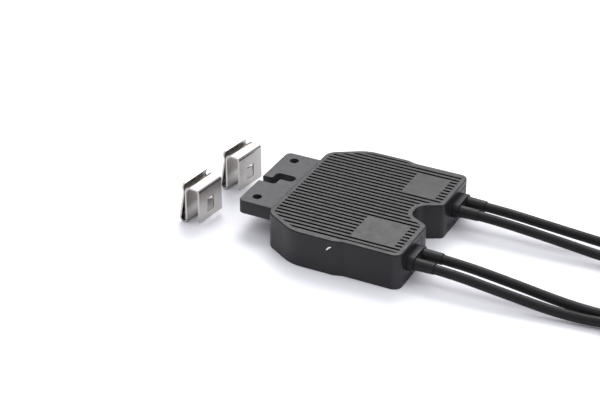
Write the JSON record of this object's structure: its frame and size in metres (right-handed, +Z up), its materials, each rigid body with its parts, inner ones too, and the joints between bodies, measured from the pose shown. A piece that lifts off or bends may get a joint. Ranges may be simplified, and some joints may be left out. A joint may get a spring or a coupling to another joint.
{
  "type": "photovoltaic module power unit",
  "caption": "Flat ribbed solar-module power unit with a slotted mounting flange, paired connector-ended leads from a notched end wall, and separate folded spring clips.",
  "frame": {"origin": "under the middle of the case, on the surface it lies on", "axes": "+X towards the side that the leads leave from, with the flange at -X; +Y across the ribs; +Z up"},
  "size_m": [0.4958, 0.1121, 0.032],
  "materials": {
    "case": "satin, finely textured",
    "cover": "matte",
    "gasket": "matte",
    "screws": "zinc plated",
    "resin": "set potting resin",
    "board": "solder mask",
    "ferrite": "sintered",
    "copper": "enamelled copper wire",
    "capacitor": "moulded",
    "package": "moulded",
    "thermal_pad": "soft pad",
    "spreader": "milled",
    "terminal": "tinned",
    "lead": "matte cable sheath",
    "panel": "satin",
    "boot": "moulded",
    "tie": "nylon",
    "spring_steel": "rolled stainless sheet",
    "connector": "moulded",
    "contact": "tinned copper"
  },
  "bodies": {
    "unit": {"base_cover": "cover", "board_screws": "screws", "choke_cores": "ferrite", "choke_windings": "copper", "circuit_board": "board", "cover_gasket": "gasket", "cover_screws": "screws", "film_capacitors": "capacitor", "gate_drivers": "package", "hank_tie_far": "tie", "hank_tie_near": "tie", "heat_spreader": "spreader", "housing": "case", "input_lead_1": "lead", "input_lead_1_contact": "contact", "input_lead_1_nut": "connector", "input_lead_1_plug_shell": "connector", "input_lead_2": "lead", "input_lead_2_contact": "contact", "input_lead_2_nut": "connector", "input_lead_2_socket_shell": "connector", "input_lead_boot": "boot", "input_lead_panel": "panel", "lead_ends": "lead", "output_lead_1": "lead", "output_lead_1_contact": "contact", "output_lead_1_nut": "connector", "output_lead_1_socket_shell": "connector", "output_lead_1_tail": "lead", "output_lead_1_turns": "lead", "output_lead_2": "lead", "output_lead_2_contact": "contact", "output_lead_2_nut": "connector", "output_lead_2_plug_shell": "connector", "output_lead_2_tail": "lead", "output_lead_2_turns": "lead", "output_lead_boot": "boot", "output_lead_panel": "panel", "potting_layer": "resin", "power_transistors": "package", "processor": "package", "roof_thermal_pad": "thermal_pad", "shunt_resistors": "package", "signal_transformer": "ferrite", "solder_terminals": "terminal", "transistor_pads": "thermal_pad"},
    "left_clip": {"left_clip_channel": "spring_steel"},
    "left_clip_leg": {"left_clip_spring_leg": "spring_steel"},
    "left_clip_latch": {"left_clip_latch_tongue": "spring_steel"},
    "right_clip": {"right_clip_channel": "spring_steel"},
    "right_clip_leg": {"right_clip_spring_leg": "spring_steel"},
    "right_clip_latch": {"right_clip_latch_tongue": "spring_steel"}
  },
  "joints": [
    {"name": "left_clip_lift", "type": "slide", "parent": "unit", "child": "left_clip", "axis": [0, 0, 1], "range_m": [0, 0.06]},
    {"name": "left_clip_leg_flex", "type": "hinge", "parent": "left_clip", "child": "left_clip_leg", "pos_m": [-0.10159, -0.02951, 0], "axis": [-0.134, -0.991, 0], "range_deg": [0, 8], "stiffness_Nm_per_rad": 0.5},
    {"name": "left_clip_latch_flex", "type": "hinge", "parent": "left_clip", "child": "left_clip_latch", "pos_m": [-0.08965, -0.03113, 0.00795], "axis": [0.134, 0.991, 0], "range_deg": [0, 8], "stiffness_Nm_per_rad": 0.05},
    {"name": "right_clip_lift", "type": "slide", "parent": "unit", "child": "right_clip", "axis": [0, 0, 1], "range_m": [0, 0.06]},
    {"name": "right_clip_leg_flex", "type": "hinge", "parent": "right_clip", "child": "right_clip_leg", "pos_m": [-0.09854, 0.01639, 0], "axis": [-0.1582, -0.9874, 0], "range_deg": [0, 8], "stiffness_Nm_per_rad": 0.5},
    {"name": "right_clip_latch_flex", "type": "hinge", "parent": "right_clip", "child": "right_clip_latch", "pos_m": [-0.08664, 0.01449, 0.00795], "axis": [0.1582, 0.9874, 0], "range_deg": [0, 8], "stiffness_Nm_per_rad": 0.05}
  ]
}
